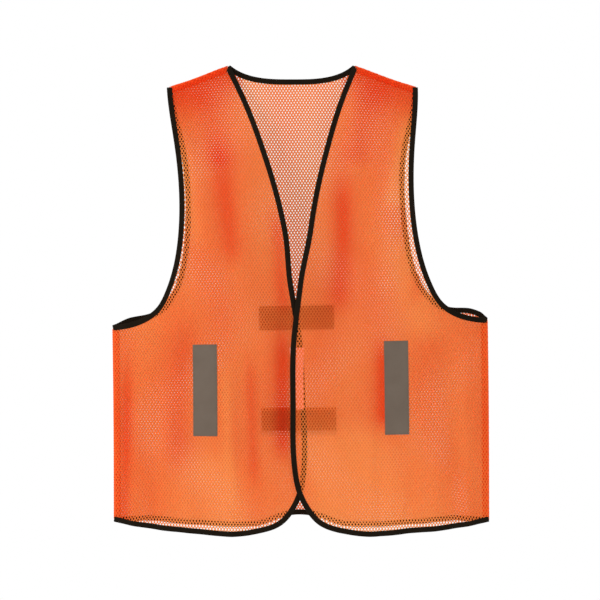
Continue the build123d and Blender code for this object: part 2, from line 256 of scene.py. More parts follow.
def ramp(distance):
    """0 before the hinge line, the distance after it, with a soft knee."""
    share = np.clip((distance + HINGE_SOFT) / (2 * HINGE_SOFT), 0, 1)
    return np.where(share < 1, HINGE_SOFT * share * share, distance)


def seam_distance(x, z):
    """Distance to the nearest of the shoulder and side seams."""
    to_side = HALF_WIDTH - np.abs(x)
    to_shoulder = (shoulder_line(x) - z) / math.hypot(1, SLOPE)
    on_shoulder = np.abs(x) > SHOULDER_FROM
    return np.maximum(np.where(on_shoulder, np.minimum(to_side, to_shoulder), to_side), 0)


def hang(cloth, x, z, lift=0.0):
    """Place of flat points on a cloth, lifted off its outer face, before the askew."""
    x = np.atleast_1d(np.asarray(x, float))
    z = np.atleast_1d(np.asarray(z, float))
    near = seam_distance(x, z)
    closed = 1 - SEAM_PINCH * np.exp(-near / SEAM_CLOSE)
    quiet = rise(near, *SEAM_QUIET)
    off = stand_off(x, z) + NET_THICK / 2
    if cloth == "back":
        y = off * BACK_SHARE * closed + fold_height(x, z, BACK_FOLDS) * quiet + lift
    else:
        side = 1 if cloth == "left" else -1
        y = -(off * closed + fold_height(x, z, FRONT_FOLDS) * quiet + lift)
        y -= side * PARTING * ramp(FOLD_X - side * x)
    return np.stack([x, y, z], axis=1)


# %% How the whole vest hangs askew
SIDE_LIFT = 0.02
SAG = 4.4 * MM
SHOULDER_SINK = 3.5 * MM
HEM_END_DROP = 9 * MM
HEM_RISE = 3 * MM
LOOP_RISE = 5 * MM
ARM_SLIP = 4.4 * MM
BACK_HEM_DROP = 7 * MM
EDGE_SHIFT = 1 * MM
# heights below are shares of the length; the other pairs are a start and a length in mm
CHEST_END = 0.45
TURN_OUT = (0.55, 0.42)
LOOP_WIDE = (205, 45)
LOOP_TALL = 35
SLIP_WIDE = (100, 60)
SLIP_IN = (0.08, 0.15)
SLIP_OUT = (0.45, 0.08)
SINK_WIDE = 70 * MM
SINK_END = 0.3
LOW = (0.75, 0.2)
HEM_END = (215, 55)
HEM_MIDDLE = ((20, 50), (190, 60))
BACK_GAP = ((0, 20), (20, 150))
EDGE_TOP = (0.35, 0.12)
EDGE_WIDE = (40, 80)


def share_rise(down, start, length):
    """Eases from 0 to 1 down the vest, between two shares of its length."""
    return smooth((down - start) / length)


def askew(points):
    """The whole vest hangs a little to one side, and its hem and shoulders droop."""
    points = np.array(points, float)
    x = points[:, 0].copy()
    down = -points[:, 2] / LENGTH
    wide = np.abs(x)
    turned = smooth(down / CHEST_END) * (1 - share_rise(down, *TURN_OUT))
    loop = rise(x, *LOOP_WIDE) * rise(points[:, 1], 0, 3)
    loop *= smooth(1 - np.abs(points[:, 2] - UNDERARM) / (LOOP_TALL * MM))
    slip = rise(x, *SLIP_WIDE) * rise(points[:, 1], 0, 4)
    slip *= share_rise(down, *SLIP_IN) * (1 - share_rise(down, *SLIP_OUT))
    points[:, 0] -= ARM_SLIP * slip
    points[:, 2] += x * SIDE_LIFT * turned + loop * LOOP_RISE
    sink = smooth((wide - NECK_HALF) / SINK_WIDE) * (1 - smooth(down / SINK_END))
    points[:, 2] -= SHOULDER_SINK * sink
    low = share_rise(down, *LOW)
    points[:, 2] -= HEM_END_DROP * rise(wide, *HEM_END) * low
    points[:, 2] += HEM_RISE * low * (1 - rise(wide, *HEM_MIDDLE[1])) * rise(wide, *HEM_MIDDLE[0])
    gap = rise(points[:, 1], *BACK_GAP[0]) * (1 - rise(wide, *BACK_GAP[1]))
    points[:, 2] -= BACK_HEM_DROP * gap * low
    straight = share_rise(down, *EDGE_TOP) * (1 - rise(wide, *EDGE_WIDE))
    points[:, 0] += SWAY * down + SAG * np.sin(np.pi * np.clip(down, 0, 1)) * (1 - straight)
    points[:, 0] -= EDGE_SHIFT * straight
    return points


# %% [markdown]
# ## Outlines
# The pattern's edges are smooth curves through a few points. A natural cubic spline
# gives the same curve as the CAD model, and it is then walked in even steps, because
# the tape and its stitches have to be evenly spaced.

# %% Smooth lines
FINE_STEPS = 2000


def spline_line(points, step):
    """Points evenly spaced along a natural cubic spline."""
    pts = np.array(points, float)
    knots = run_of(pts)
    gaps = np.diff(knots)
    count = len(pts)
    system = np.eye(count)
    right = np.zeros((count, 2))
    for i in range(1, count - 1):
        system[i, i - 1 : i + 2] = [gaps[i - 1], 2 * (gaps[i - 1] + gaps[i]), gaps[i]]
        right[i] = 6 * ((pts[i + 1] - pts[i]) / gaps[i] - (pts[i] - pts[i - 1]) / gaps[i - 1])
    bend = np.linalg.solve(system, right)
    fine = np.linspace(0, knots[-1], FINE_STEPS)
    span = np.clip(np.searchsorted(knots, fine) - 1, 0, count - 2)
    gap = gaps[span][:, None]
    b = ((fine - knots[span])[:, None]) / gap
    a = 1 - b
    line = a * pts[span] + b * pts[span + 1]
    line += ((a**3 - a) * bend[span] + (b**3 - b) * bend[span + 1]) * gap * gap / 6
    return even_line(line, step)


def even_line(line, step):
    """The same line with evenly spaced points."""
    run = run_of(line)
    count = max(int(round(run[-1] / step)), 2)
    return at_marks(np.linspace(0, run[-1], count + 1), run, line)


STEP = 2.4 * MM
V_RISE = V_DEPTH * V_SHAPE[0][1] / (NECK_HALF * (1 - V_SHAPE[0][0]))


def under_shoulder(x, z):
    """Points of the half pattern under the shoulder seam and inside the side seam."""
    return (z <= shoulder_line(x)) & (x <= HALF_WIDTH)


def outline_part(points, keep):
    """Even steps along a smooth line, where its points pass a test."""
    line = spline_line(points, STEP / 4)
    return even_line(line[keep(line[:, 0], line[:, 1])], STEP)


def front_edge_line():
    """Left front: neck point, V, centre edge, rounded corner, hem, side seam."""
    below = LENGTH - V_DEPTH
    points = [(NECK_HALF + RUN_ON / 2, RUN_ON / 2 * V_RISE), (NECK_HALF, 0)]
    points += [(NECK_HALF * x, -V_DEPTH * z) for x, z in V_SHAPE]
    points += [(OVERLAP * x, -V_DEPTH - below * z) for x, z in FRONT_EDGE_SHAPE]
    points += [(HALF_WIDTH * x, -V_DEPTH - below * z) for x, z in CORNER_SHAPE]
    points += [(HALF_WIDTH, SIDE_HEM), (HALF_WIDTH + RUN_ON, SIDE_HEM)]
    return outline_part(points, under_shoulder)


def arm_line(shape):
    """A cloth's left armhole, from the shoulder tip to the underarm."""
    spread = HALF_WIDTH - SHOULDER_HALF
    points = [(SHOULDER_HALF, RUN_ON - SHOULDER_DROP), (SHOULDER_HALF, -SHOULDER_DROP)]
    points += [(SHOULDER_HALF + spread * x, -SHOULDER_DROP - ARM_DEPTH * z) for x, z in shape]
    points += [(HALF_WIDTH, UNDERARM), (HALF_WIDTH + RUN_ON, UNDERARM - MM)]
    return outline_part(points, under_shoulder)


def mirrored_points(half):
    """A half outline, from left to right, with its mirror image after it."""
    return half[::-1] + [(-x, z) for x, z in half[1:]]


def back_neck_line():
    """Back neck from the left neck point to the right one."""
    half = [(NECK_HALF * x, -BACK_NECK_DROP * z) for x, z in BACK_NECK_SHAPE][::-1]
    half += [(NECK_HALF, 0), (NECK_HALF + RUN_ON / 2, RUN_ON / 2)]
    return outline_part(mirrored_points(half), lambda x, z: z <= shoulder_line(x))


def back_hem_line():
    """Back hem from the left side seam to the right one."""
    half = [(HALF_WIDTH * x, -LENGTH * z) for x, z in BACK_HEM_SHAPE]
    half += [(HALF_WIDTH, SIDE_HEM), (HALF_WIDTH + RUN_ON, SIDE_HEM)]
    return outline_part(mirrored_points(half), lambda x, z: np.abs(x) <= HALF_WIDTH)


front_edge = front_edge_line()
front_arm = arm_line(ARM_SHAPE + UNDERARM_SHAPE)
back_arm = arm_line(BACK_ARM_SHAPE + BACK_UNDERARM_SHAPE)
back_neck = back_neck_line()
back_hem = back_hem_line()
FLIP = np.array([-1, 1])
front_outline = np.concatenate([front_edge, front_arm[::-1]])
back_outline = np.concatenate([back_neck[::-1], back_arm, back_hem, (back_arm * FLIP)[::-1]])
print("front edge", len(front_edge), "armhole", len(front_arm), "hem", len(back_hem))


# %% Helpers for building
def mode(word):
    """Turns to edit mode or object mode."""
    bpy.ops.object.mode_set(mode=word)


def clear_selection():
    """Nothing selected, so an operator acts on the new piece alone."""
    if bpy.context.mode != "OBJECT":
        mode("OBJECT")
    bpy.ops.object.select_all(action="DESELECT")


def pick(obj):
    """One object selected and active."""
    clear_selection()
    obj.select_set(True)
    bpy.context.view_layer.objects.active = obj


def coords(obj):
    """A mesh's points as an array."""
    flat = np.empty(len(obj.data.vertices) * 3)
    obj.data.vertices.foreach_get("co", flat)
    return flat.reshape(-1, 3)


def set_coords(obj, points):
    """Puts an array back as a mesh's points."""
    obj.data.vertices.foreach_set("co", np.asarray(points, float).ravel())
    obj.data.update()


def apply_all(obj):
    """Applies an object's modifiers in order."""
    bpy.context.view_layer.objects.active = obj
    for modifier in list(obj.modifiers):
        bpy.ops.object.modifier_apply(modifier=modifier.name)


def smooth_shade(obj):
    """Smooth shading all over."""
    for face in obj.data.polygons:
        face.use_smooth = True


def mesh_object(name, points, faces, material):
    """An object from points and faces."""
    mesh = bpy.data.meshes.new(name)
    mesh.from_pydata([tuple(p) for p in points], [], [tuple(int(i) for i in f) for f in faces])
    mesh.update()
    obj = bpy.data.objects.new(name, mesh)
    bpy.context.collection.objects.link(obj)
    obj.data.materials.append(material)
    smooth_shade(obj)
    return obj


def grid_faces(rows, width, closed=False):
    """Faces between rows of points, each row as wide as given."""
    faces = []
    for i in range(rows if closed else rows - 1):
        here = i * width
        there = (i + 1) % rows * width
        faces += [(here + k, there + k, there + k + 1, here + k + 1) for k in range(width - 1)]
    return faces


# %% [markdown]
# ## Finishes
# Every finish is a small node group on one shader: a colour that wanders a little, a
# fine bump at the scale of the yarn, and a roughness that suits cloth. Uniform values
# are set on the shader itself.

# %% Finishes
CLOTH_IOR = 1.3
BUMP_TALL = 0.0004


def set_inputs(node, values):
    """Sets a node's inputs by name."""
    for name, value in values.items():
        node.inputs[name].default_value = value


def colour_mix(material, first, second):
    """A node that mixes two colours."""
    mix = material.node_tree.nodes.new("ShaderNodeMix")
    mix.data_type = "RGBA"
    set_inputs(mix, {"A": (*first, 1), "B": (*second, 1)})
    return mix


def noise_over(material, mapping, scale, detail):
    """A noise that follows a mapping."""
    noise = material.node_tree.nodes.new("ShaderNodeTexNoise")
    set_inputs(noise, {"Scale": scale, "Detail": detail})
    material.node_tree.links.new(mapping.outputs["Vector"], noise.inputs["Vector"])
    return noise


def finish(
    name, colour, second, scale, rough, bump, bump_scale,
    sheen=0.0, stretch=(1, 1, 1), through=0.0, shine=0.3,
):
    """A cloth finish whose colour wanders between two tones, with a fine bump."""
    material = bpy.data.materials.new(name)
    material.use_nodes = True
    nodes = material.node_tree.nodes
    links = material.node_tree.links
    shader = nodes["Principled BSDF"]
    set_inputs(shader, {"Roughness": rough, "Sheen Weight": sheen, "IOR": CLOTH_IOR})
    set_inputs(shader, {"Specular IOR Level": shine, "Transmission Weight": through})
    place = nodes.new("ShaderNodeTexCoord")
    mapping = nodes.new("ShaderNodeMapping")
    set_inputs(mapping, {"Scale": stretch})
    links.new(place.outputs["Object"], mapping.inputs["Vector"])
    noise = noise_over(material, mapping, scale, 4)
    mix = colour_mix(material, colour, second)
    links.new(noise.outputs["Fac"], mix.inputs["Factor"])
    links.new(mix.outputs["Result"], shader.inputs["Base Color"])
    fine = noise_over(material, mapping, bump_scale, 2)
    relief = nodes.new("ShaderNodeBump")
    set_inputs(relief, {"Strength": bump, "Distance": BUMP_TALL})
    links.new(fine.outputs["Fac"], relief.inputs["Height"])
    links.new(relief.outputs["Normal"], shader.inputs["Normal"])
    return material


# NET_RED is the deep red that painted shade mixes towards, and NET_SHADE is the colour of painted
# shadow
NET_PALE = (1.0, 0.3, 0.06)
NET_RED = (0.82, 0.028, 0.0)
NET_SHADE = (0.12, 0.035, 0.008)


def net_finish():
    """Orange netting, redder by its own tone and by painted shade, paler by painted light, and
    darker by painted shadow.
    """
    material = finish(
        "orange netting", NET_PALE, NET_PALE, 9, 0.75, 0.25, 2600, 0, (1, 1, 0.3), 0.35, 0.06
    )
    nodes = material.node_tree.nodes
    links = material.node_tree.links
    colour = None
    for name, tone in (("red_tone_painted_shade_and_light", NET_RED), ("shade", NET_SHADE)):
        amount = nodes.new("ShaderNodeAttribute")
        amount.attribute_name = name
        mix = colour_mix(material, NET_PALE, tone)
        links.new(amount.outputs["Fac"], mix.inputs["Factor"])
        if colour:
            links.new(colour, mix.inputs["A"])
        colour = mix.outputs["Result"]
    links.new(colour, nodes["Principled BSDF"].inputs["Base Color"])
    return material


NET_ORANGE = net_finish()
SEAM_ORANGE = finish(
    "orange seam", (0.88, 0.085, 0.012), (0.92, 0.11, 0.018), 30, 0.8, 0.5, 1800, 0.05, shine=0.1
)
TAPE_BLACK = finish(
    "black binding", (0.006, 0.004, 0.002), (0.015, 0.01, 0.006), 60, 0.8, 0.5, 1900,
    0.02, (1, 1, 0.25), shine=0.06,
)
THREAD_BLACK = finish(
    "black thread", (0.012, 0.008, 0.005), (0.03, 0.02, 0.012), 200, 0.55, 0.3, 4000, shine=0.15
)
STRIP_GREY = finish(
    "reflective grey", (0.122, 0.09, 0.067), (0.152, 0.118, 0.091), 40, 0.42, 0.25, 3500
)
THREAD_GREY = finish("grey thread", (0.13, 0.12, 0.08), (0.17, 0.15, 0.1), 200, 0.6, 0.3, 4000)
HOOK_SALMON = finish(
    "salmon hook tape", (1.0, 0.26, 0.17), (1.0, 0.32, 0.22), 80, 0.6, 0.3, 2500, shine=0.1
)
LOOP_SALMON = finish(
    "salmon loop tape", (1.0, 0.26, 0.17), (1.0, 0.33, 0.23), 80, 0.9, 0.8, 2500, 0.1, shine=0.1
)
THREAD_ORANGE = finish("orange thread", (0.85, 0.13, 0.04), (0.92, 0.18, 0.06), 200, 0.6, 0.3, 4000)

# %% [markdown]
# ## Netting
# The cloth is a knitted net with small staggered holes, about a third of it open in
# the fronts and a fifth in the back. A picture of holes on a plain sheet would look
# flat from close by and would not let light through, so the net is made as real
# strands: one diamond is drawn, copied in rows, every diamond is inset, and the inner
# faces are deleted to leave the holes. The back net's cells are placed behind the
# fronts' strands, as the camera sees them, so that the two nets don't flicker.

# %% The net's lattice
CELL_SHORT = HALF_WIDTH / 124
CELL_LONG = HALF_WIDTH / 77
VIEW_FAR = 2.43
VIEW_X = 12.4 * MM
VIEW_Z = -0.3426
FRONT_STRAND = 0.8 * MM
BACK_STRAND = 1.08 * MM
RELIEF = 0.28 * MM
KNIT_DRIFT = 0.35 * MM
BACK_SHIFT = 0.82
HOLE_RIM_PAINTED_SHADE = 0.24
MERGE = 0.05 * MM
EDGE_ROOM = 0.1 * MM
UNDER_TAPE = 3.7 * MM
CHUNKS = 40


def diamond_lattice(name, low, high):
    """A flat lattice of diamonds that meets the side seams on whole cells."""
    clear_selection()
    gaps = np.array([2 * CELL_SHORT, 2 * CELL_LONG])
    first = gaps * np.floor(low / gaps)
    counts = np.ceil((high - first) / gaps).astype(int) + 1
    bpy.ops.mesh.primitive_circle_add(vertices=4, radius=1, fill_type="NGON", location=(0, 0, 0))
    net = bpy.context.active_object
    net.name = name
    mode("EDIT")
    bpy.ops.transform.resize(value=(CELL_SHORT, CELL_LONG, 1))
    bpy.ops.mesh.duplicate_move(TRANSFORM_OT_translate={"value": (CELL_SHORT, CELL_LONG, 0)})
    bpy.ops.mesh.select_all(action="SELECT")
    bpy.ops.transform.translate(value=(*first, 0))
    mode("OBJECT")
    for axis, way in enumerate(((1, 0, 0), (0, 1, 0))):
        row = net.modifiers.new("row", "ARRAY")
        row.count = int(counts[axis])
        row.use_relative_offset = False
        row.use_constant_offset = True
        row.constant_offset_displace = gaps[axis] * np.array(way)
        row.use_merge_vertices = True
        row.merge_threshold = MERGE
    apply_all(net)
    return net


def inside(outline, points):
    """Which points are inside a closed outline."""
    result = np.zeros(len(points), bool)
    x = points[:, 0]
    z = points[:, 1]
    ahead = np.roll(outline, -1, axis=0)
    for (x0, z0), (x1, z1) in zip(outline, ahead):
        if z0 == z1:
            continue
        crosses = (z0 > z) != (z1 > z)
        result ^= crosses & (x < (x1 - x0) * (z - z0) / (z1 - z0) + x0)
    return result


def edge_distance(lines, points):
    """Distance from each point to the nearest point of some lines."""
    marks = np.concatenate(lines)
    nearest = np.full(len(points), np.inf)
    for part in np.array_split(marks, CHUNKS):
        gaps = np.linalg.norm(points[:, None, :] - part[None, :, :], axis=2)
        nearest = np.minimum(nearest, gaps.min(axis=1))
    return nearest


def face_centres(obj):
    """Middle of each face in the flat pattern."""
    flat = np.empty(len(obj.data.polygons) * 3)
    obj.data.polygons.foreach_get("center", flat)
    return flat.reshape(-1, 3)[:, :2]


def delete_faces(obj, picked):
    """Deletes the picked faces in edit mode."""
    pick(obj)
    mode("EDIT")
    bpy.ops.mesh.select_mode(type="FACE")
    bpy.ops.mesh.select_all(action="DESELECT")
    mode("OBJECT")
    obj.data.polygons.foreach_set("select", picked)
    mode("EDIT")
    bpy.ops.mesh.delete(type="FACE")
    mode("OBJECT")


def open_holes(obj, strand):
    """Insets every cell and deletes the inner faces."""
    pick(obj)
    mode("EDIT")
    bpy.ops.mesh.select_mode(type="FACE")
    bpy.ops.mesh.select_all(action="SELECT")
    bpy.ops.mesh.inset(thickness=strand, use_individual=True, use_even_offset=True)
    bpy.ops.mesh.delete(type="FACE")
    mode("OBJECT")


# the shoulder, side and covered values below are painted shade, and the dark values are painted
# shadow
BASE_RED = 0.28
MOST_RED = 0.84
SHOULDER_PAINTED_SHADE = (0.55, 42 * MM)
SIDE_PAINTED_SHADE = (0.1, 13 * MM)
BACK_RED = 0.08
COVERED_PAINTED_SHADE = 0.2
DRIFT_RED = 0.08
BACK_PAINTED_PLACES_SHARE = 0.5
STRIP_DARK = {"back": 0.16, "front": 0.17}
BACK_DARK = 0.06
NECK_DARK = 0.16
NECK_DARK_DOWN = (10, 190)
EDGE_DARK = 0.14
EDGE_DARK_AT = (-24 * MM, 14 * MM)
EDGE_DARK_END = 520
V_FADE = 60


def below_v(z, share=1.0):
    """Eases from 0 to 1 below a share of the V's depth."""
    return smooth((-z - V_DEPTH * share) / (V_FADE * MM))


def red_tone_painted_shade_and_light(x, z, cloth):
    """How red the net is at flat points, from 0 to 1: its own tone and a slow wander, with painted
    shade at the seams, fold bands, covered back and hole rims, and painted light on some ridges.
    """
    to_side = HALF_WIDTH - np.abs(x)
    to_shoulder = np.where(np.abs(x) > SHOULDER_FROM, shoulder_line(x) - z, 1)
    # painted shade: the net is painted redder near the shoulder and side seams, where doubled layers
    # block the light
    tone = BASE_RED + SHOULDER_PAINTED_SHADE[0] * np.exp(-((to_shoulder / SHOULDER_PAINTED_SHADE[1]) ** 2))
    tone = tone + SIDE_PAINTED_SHADE[0] * np.exp(-((to_side / SIDE_PAINTED_SHADE[1]) ** 2))
    # painted shade in shaded fold bands and painted light on ridges, at half strength on the back
    tone += fold_height(x, z, PAINTED_SHADE_AND_LIGHT_PLACES) / MM * (BACK_PAINTED_PLACES_SHARE if cloth == "back" else 1.0)
    drift = np.sin(x / (17 * MM) + np.sin(z / (45 * MM))) * np.sin(z / (70 * MM) + x / (40 * MM))
    if cloth == "back":
        # painted shade: the back is painted redder wherever the fronts lie over it, outside the neck
        # opening
        beside = smooth((np.abs(x) - NECK_HALF * 0.9) / (20 * MM))
        tone += BACK_RED + COVERED_PAINTED_SHADE * np.maximum(below_v(z, 0.8), beside)
    return np.clip(tone + DRIFT_RED * drift, 0, MOST_RED)


def shadow(x, z, cloth):
    """How dark the net is at flat points: by the back strips, in the V, by the edge."""
    if cloth == "back":
        dark = near_strips(x, z) * STRIP_DARK["back"]
        deep = rise(-z, *NECK_DARK_DOWN) * smooth((NECK_HALF - np.abs(x)) / (40 * MM))
        return dark + BACK_DARK + NECK_DARK * deep * (1 - below_v(z))
    dark = near_strips(x, z) * STRIP_DARK["front"]
    edge = np.exp(-(((x - EDGE_DARK_AT[0]) / EDGE_DARK_AT[1]) ** 2)) * below_v(z)
    return dark + EDGE_DARK * edge * (1 - rise(-z, EDGE_DARK_END, V_FADE))


def seen_at(points):
    """Where points appear on the plane y = 0, seen from the front."""
    share = VIEW_FAR / (VIEW_FAR + points[:, 1])
    return VIEW_X + (points[:, 0] - VIEW_X) * share, VIEW_Z + (points[:, 2] - VIEW_Z) * share


def behind(x, z):
    """Back net's flat points moved to lie behind the front's, seen from the front."""
    left = hang("left", x, z)
    right = hang("right", x, z)
    front_x, front_z = seen_at(askew(np.where(x[:, None] > 0, left, right)))
    back_x, back_z = seen_at(askew(hang("back", x, z)))
    return x + front_x - back_x, z + front_z - back_z


def near_strips(x, z):
    """1 where a back strip lies behind the net, 0 elsewhere."""
    total = np.zeros(len(x))
    for name in ("upper_back_reflective_strip", "lower_back_reflective_strip"):
        low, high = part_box(name)
        total += (x > low[0]) & (x < high[0]) & (z > low[2]) & (z < high[2])
    return total


def wander(along, across, first, second):
    """A slow drift of the knitting between -1 and 1, with its lengths in mm."""
    return np.sin(along / (first * MM) + 2 * np.sin(across / (second * MM)))


def netting(name, cloth, outline, bound):
    """One cloth of real netting, cut to an outline and hung."""
    net = diamond_lattice(name, outline.min(axis=0), outline.max(axis=0))
    flat = coords(net)
    x, z = flat[:, 0], flat[:, 1]
    if cloth == "back":
        x[:], z[:] = behind(x + CELL_SHORT * BACK_SHIFT, z)
    else:
        calm = rise(seam_distance(x, z), 0, 30)
        x += KNIT_DRIFT * calm * wander(x, z, 31, 47)
        z += KNIT_DRIFT * calm * wander(z, x, 37, 53)
    set_coords(net, flat)
    centres = face_centres(net)
    cut = centres.copy()
    cut[:, 0] = np.clip(cut[:, 0], EDGE_ROOM - HALF_WIDTH, HALF_WIDTH - EDGE_ROOM)
    cut[:, 1] = np.minimum(cut[:, 1], shoulder_line(cut[:, 0]) - EDGE_ROOM)
    slack = np.linalg.norm(cut - centres, axis=1)
    clear = edge_distance(bound, centres) > UNDER_TAPE
    good = inside(outline, cut) & (slack < CELL_SHORT) & clear
    delete_faces(net, ~good)
    solid_corners = len(net.data.vertices)
    open_holes(net, BACK_STRAND if cloth == "back" else FRONT_STRAND)
    x, z = coords(net)[:, :2].T
    x = np.clip(x, -HALF_WIDTH, HALF_WIDTH)
    z = np.minimum(z, shoulder_line(x))
    lift = np.where(np.arange(len(x)) < solid_corners, RELIEF, -RELIEF)
    set_coords(net, askew(hang(cloth, x, z, lift)))
    net.data.materials.append(NET_ORANGE)
    tone = red_tone_painted_shade_and_light(x, z, cloth)
    # painted shade round the rim of each hole
    tone[solid_corners:] += HOLE_RIM_PAINTED_SHADE
    # the tone with its painted shade and light, and the painted shadow, go to the material as point
    # attributes
    for word, values in (("red_tone_painted_shade_and_light", tone), ("shade", shadow(x, z, cloth))):
        net.data.attributes.new(word, "FLOAT", "POINT").data.foreach_set("value", values)
    smooth_shade(net)
    net.data.update()
    print(name, "holes", int(good.sum()), "faces", len(net.data.polygons))
    return net


front_bound = [front_edge, front_arm]
right_bound = [line * FLIP for line in front_bound]
back_bound = [back_neck, back_arm, back_arm * FLIP, back_hem]
left_net = netting("left_front_netting", "left", front_outline, front_bound)
right_net = netting("right_front_netting", "right", front_outline * FLIP, right_bound)
back_net = netting("back_netting", "back", back_outline, back_bound)

# %% [markdown]
# ## Binding
# Every free edge is wrapped in one long folded tape. The tape is a strip with a folded
# cross-section carried along the outline: two flat legs, a rounded fold at the outside,
# and a small turned lip at each raw edge. It is pressed in slightly at the stitches.

# %% The path of the tape
REACH_IN = 6 * MM
SOFTENINGS = 3


def edge_frames(cloth, line):
    """Places along an outline and the direction into the cloth at each."""
    ahead = unit(np.gradient(line, axis=0))
    inward = np.stack([-ahead[:, 1], ahead[:, 0]], axis=1)
    if not points_into(cloth, line, inward):
        inward = -inward
    base = askew(hang(cloth, *line.T))
    deep = line + inward * REACH_IN
    return base, unit(askew(hang(cloth, *deep.T)) - base)


def points_into(cloth, line, inward):
    """Whether the direction at a line's middle points into the cloth."""
    outlines = {"back": back_outline, "left": front_outline, "right": front_outline * FLIP}
    middle = len(line) // 2
    probe = line[middle : middle + 1] + inward[middle] * REACH_IN
    return inside(outlines[cloth], probe)[0]


def soften(values, joins, reach=2):
    """Averages values near the joins between runs, so the tape turns there smoothly."""
    result = values.copy()
    count = len(values)
    for join in joins:
        for k in range(join - 2 * reach, join + 2 * reach):
            picks = np.arange(k - reach, k + reach + 1) % count
            result[k % count] = values[picks].mean(axis=0)
    return result


def tape_path(runs):
    """Places round joined outlines, their inward, outward and onward ways, and the joins."""
    places = []
    inwards = []
    joins = []
    for cloth, line in runs:
        place, inward = edge_frames(cloth, line)
        joins.append(sum(len(p) for p in places))
        places.append(place)
        inwards.append(inward)
    place = soften(np.concatenate(places), joins, 1)
    inward = np.concatenate(inwards)
    for _ in range(SOFTENINGS):
        inward = soften(inward, joins)
    inward = unit(inward)
    along = unit(np.roll(place, -1, axis=0) - np.roll(place, 1, axis=0))
    return place, inward, unit(np.cross(along, inward)), along, joins


# %% The folded strip
STITCH_IN = 6.2 * MM
STITCH_PITCH = 3.2 * MM
TAPE_SHARE = 0.9
DENT = 0.22
# distance in from the fold, stand-off, share of the stitch dent, all but the last in mm
TAPE_LEG = [
    (8.2, 0.18, 0), (8.55, 0.42, 0), (8.2, 0.72, 0.3), (7.5, 0.74, 0.7), (6.9, 0.66, 1),
    (6.1, 0.76, 0.7), (4.0, 0.86, 0.1), (2.0, 0.9, 0), (0.7, 0.82, 0), (0.1, 0.45, 0),
]
TAPE_FOLD = [(-0.08, 0.0, 0)]
TAPE_PROFILE = [(deep, -off, dent) for deep, off, dent in TAPE_LEG] + TAPE_FOLD + TAPE_LEG[::-1]


def folded_tape(name, path, rows):
    """Strip of folded tape along some rows of a path, closed if it takes them all."""
    place, inward, outward = (part[rows] for part in path[:3])
    count = len(place)
    width = len(TAPE_PROFILE)
    along = np.arange(count) * STEP
    wave = 0.5 + 0.5 * np.cos(2 * math.pi * along / STITCH_PITCH)
    slow = np.sin(along / (11 * MM)) * 0.06 + np.sin(along / (4.3 * MM) + 1) * 0.04
    points = np.zeros((count, width, 3))
    for k, (depth, off, dent) in enumerate(TAPE_PROFILE):
        height = off * (1 + slow * (depth > 1)) * (1 - DENT * dent * wave)
        points[:, k] = place + inward * depth * TAPE_SHARE * MM + outward * height[:, None] * MM
    faces = grid_faces(count, width, rows is EVERY_ROW)
    tape = mesh_object(name, points.reshape(-1, 3), faces, TAPE_BLACK)
    print(name, "length mm", round(count * STEP / MM), "faces", len(faces))
    return tape


# %% The two kinds of path
right_edge = front_edge * FLIP
all_round = tape_path([
    ("back", back_neck[len(back_neck) // 2 :: -1]),
    ("left", front_edge),
    ("back", back_hem),
    ("right", right_edge[::-1]),
    ("back", back_neck[: len(back_neck) // 2 - 1 : -1]),
])
cuts = all_round[4][1:]
neck_rows = np.r_[cuts[3] : len(all_round[0]), 0 : cuts[0] + 1]
left_rows = np.r_[cuts[0] : cuts[1] + 1]
hem_rows = np.r_[cuts[1] : cuts[2] + 1]
right_rows = np.r_[cuts[2] : cuts[3] + 1]

left_arm_path = tape_path([("left", front_arm[::-1]), ("back", back_arm)])
right_arm_path = tape_path([("right", front_arm * FLIP), ("back", (back_arm * FLIP)[::-1])])
EVERY_ROW = slice(None)
# for the CAD node each tape stands for: its name, its path and its rows of the path
BINDINGS = {
    "neck_binding": ("neck_binding", all_round, neck_rows),
    "left_front_edge_binding": ("left_front_binding", all_round, left_rows),
    "hem_binding": ("back_hem_binding", all_round, hem_rows),
    "right_front_edge_binding": ("right_front_binding", all_round, right_rows),
    "left_armhole_binding": ("left_armhole", left_arm_path, EVERY_ROW),
    "right_armhole_binding": ("right_armhole", right_arm_path, EVERY_ROW),
}
tapes = {}
for node, (name, path, rows) in BINDINGS.items():
    tapes[node] = folded_tape(name + "_tape", path, rows)

# %% [markdown]
# ## Stitches
# A lockstitch shows as a row of short rounded bars. One stitch is modelled from a thin
# cylinder, pinched and sunk at its ends, and copies of it follow each seam.

# %% One stitch
STITCH_LONG = 2.3 * MM
STITCH_THICK = 0.42 * MM
STITCH_PINCH = 0.45
STITCH_ARCH = 0.45
STITCH_SINK = 1.6
STITCH_CUTS = (-0.3, 0.0, 0.3)


def stitch_model():
    """A short arched bar of thread, as points and faces, lying along X."""
    clear_selection()
    bpy.ops.mesh.primitive_cylinder_add(
        vertices=6, radius=STITCH_THICK / 2, depth=STITCH_LONG, rotation=(0, math.pi / 2, 0)
    )
    bar = bpy.context.active_object
    bpy.ops.object.transform_apply(location=True, rotation=True, scale=True)
    mode("EDIT")
    for cut in STITCH_CUTS:
        bpy.ops.mesh.select_all(action="SELECT")
        bpy.ops.mesh.bisect(plane_co=(cut * STITCH_LONG, 0, 0), plane_no=(1, 0, 0))
    mode("OBJECT")
    points = coords(bar)
    share = np.abs(points[:, 0]) / (STITCH_LONG / 2)
    points[:, 1:] *= (1 - STITCH_PINCH * share**2)[:, None]
    points[:, 2] += STITCH_THICK * STITCH_ARCH * (1 - STITCH_SINK * share**2)
    faces = [tuple(face.vertices) for face in bar.data.polygons]
    bpy.data.objects.remove(bar)
    return points, faces


stitch_points, stitch_faces = stitch_model()


